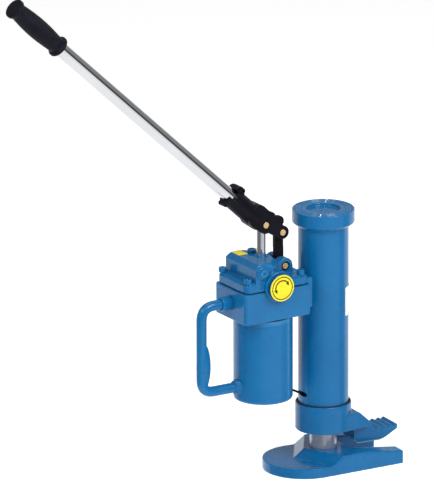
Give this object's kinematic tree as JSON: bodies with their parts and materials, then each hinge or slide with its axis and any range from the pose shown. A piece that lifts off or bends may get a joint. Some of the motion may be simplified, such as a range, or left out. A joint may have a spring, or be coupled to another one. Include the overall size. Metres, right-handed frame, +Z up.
{
  "type": "hydraulic toe jack",
  "caption": "Hydraulic toe jack: forked base with a fixed piston, lifting cylinder with a low claw and flat head, side hand pump with lever, reservoir and carrying handle.",
  "frame": {"origin": "on the floor under the middle of the piston rod, in the underside of the base plate", "axes": "+Z up along the piston rod; +X towards the toe; the release knob is on the -Y side"},
  "size_m": [0.746, 0.1438, 0.9054],
  "materials": {
    "blue_paint": "gloss",
    "chrome": "mirror",
    "black_paint": "satin",
    "brass": "satin",
    "steel": "machined",
    "rubber": "matt",
    "yellow_label": "printed film",
    "white_label": "printed film"
  },
  "bodies": {
    "base": {"base_plate": "blue_paint", "piston_rod": "chrome", "piston_head": "steel", "piston_seal": "rubber", "piston_nut": "steel"},
    "claw": {"claw": "blue_paint", "collar_ring": "rubber"},
    "plunger": {"plunger": "chrome"},
    "lever": {"lever_socket": "black_paint", "clamp_screw": "black_paint", "lever_tube": "chrome", "lever_grip": "rubber", "pin_plunger": "brass", "plunger_ring_front": "black_paint", "plunger_ring_back": "black_paint", "pin_link": "brass", "link_ring_front": "black_paint", "link_ring_back": "black_paint"},
    "link": {"link": "black_paint"},
    "release": {"release_spindle": "steel", "release_knob": "blue_paint", "release_disc": "yellow_label"},
    "column": {"cylinder_tube": "blue_paint", "head_cap": "blue_paint", "pump_block": "blue_paint", "pump_cover": "blue_paint", "cover_screw_1": "blue_paint", "cover_screw_2": "blue_paint", "cover_screw_3": "blue_paint", "cover_screw_4": "blue_paint", "pump_bracket": "blue_paint", "reservoir": "blue_paint", "plunger_gland": "blue_paint", "release_body": "blue_paint", "filler_plug": "blue_paint", "relief_plug": "blue_paint", "carrying_handle": "blue_paint", "handle_boss": "blue_paint", "handle_weld": "blue_paint", "cylinder_liner": "steel", "gland_nut": "steel", "pump_barrel": "steel", "suction_strainer": "steel", "suction_ball": "steel", "delivery_ball": "steel", "delivery_plug": "steel", "annulus_ring": "rubber", "rod_seal": "rubber", "rod_wiper": "rubber", "cap_seal": "rubber", "pump_gasket": "rubber", "reservoir_seal": "rubber", "plunger_seal": "rubber", "ear_ring_front": "black_paint", "ear_ring_back": "black_paint", "stay_rod": "black_paint", "pin_ear": "brass", "yellow_label": "yellow_label", "white_label": "white_label"}
  },
  "joints": [
    {"name": "lift_slide", "type": "slide", "parent": "base", "child": "claw", "axis": [0, 0, 1], "range_m": [-0.03, 0.2]},
    {"name": "pump_swivel", "type": "hinge", "parent": "claw", "child": "column", "pos_m": [0, 0, 0.1], "axis": [0, 0, 1], "range_deg": [-120, 120]},
    {"name": "plunger_slide", "type": "slide", "parent": "column", "child": "plunger", "axis": [0, 0, 1], "range_m": [-0.034, 0.004]},
    {"name": "lever_hinge", "type": "hinge", "parent": "plunger", "child": "lever", "pos_m": [-0.123, 0, 0.443], "axis": [0, -1, 0], "range_deg": [-4, 50]},
    {"name": "link_swing", "type": "hinge", "parent": "column", "child": "link", "pos_m": [-0.089, 0, 0.368], "axis": [0, -1, 0], "range_deg": [-3.2, 0.6]},
    {"name": "release_turn", "type": "hinge", "parent": "column", "child": "release", "pos_m": [-0.1216, -0.06, 0.3455], "axis": [0, -1, 0], "range_deg": [0, 120]}
  ],
  "couplings": [
    {"joint": "plunger_slide", "follows": "lever_hinge", "m_per_rad": -0.0364},
    {"joint": "link_swing", "follows": "lever_hinge", "ratio": -0.052}
  ]
}
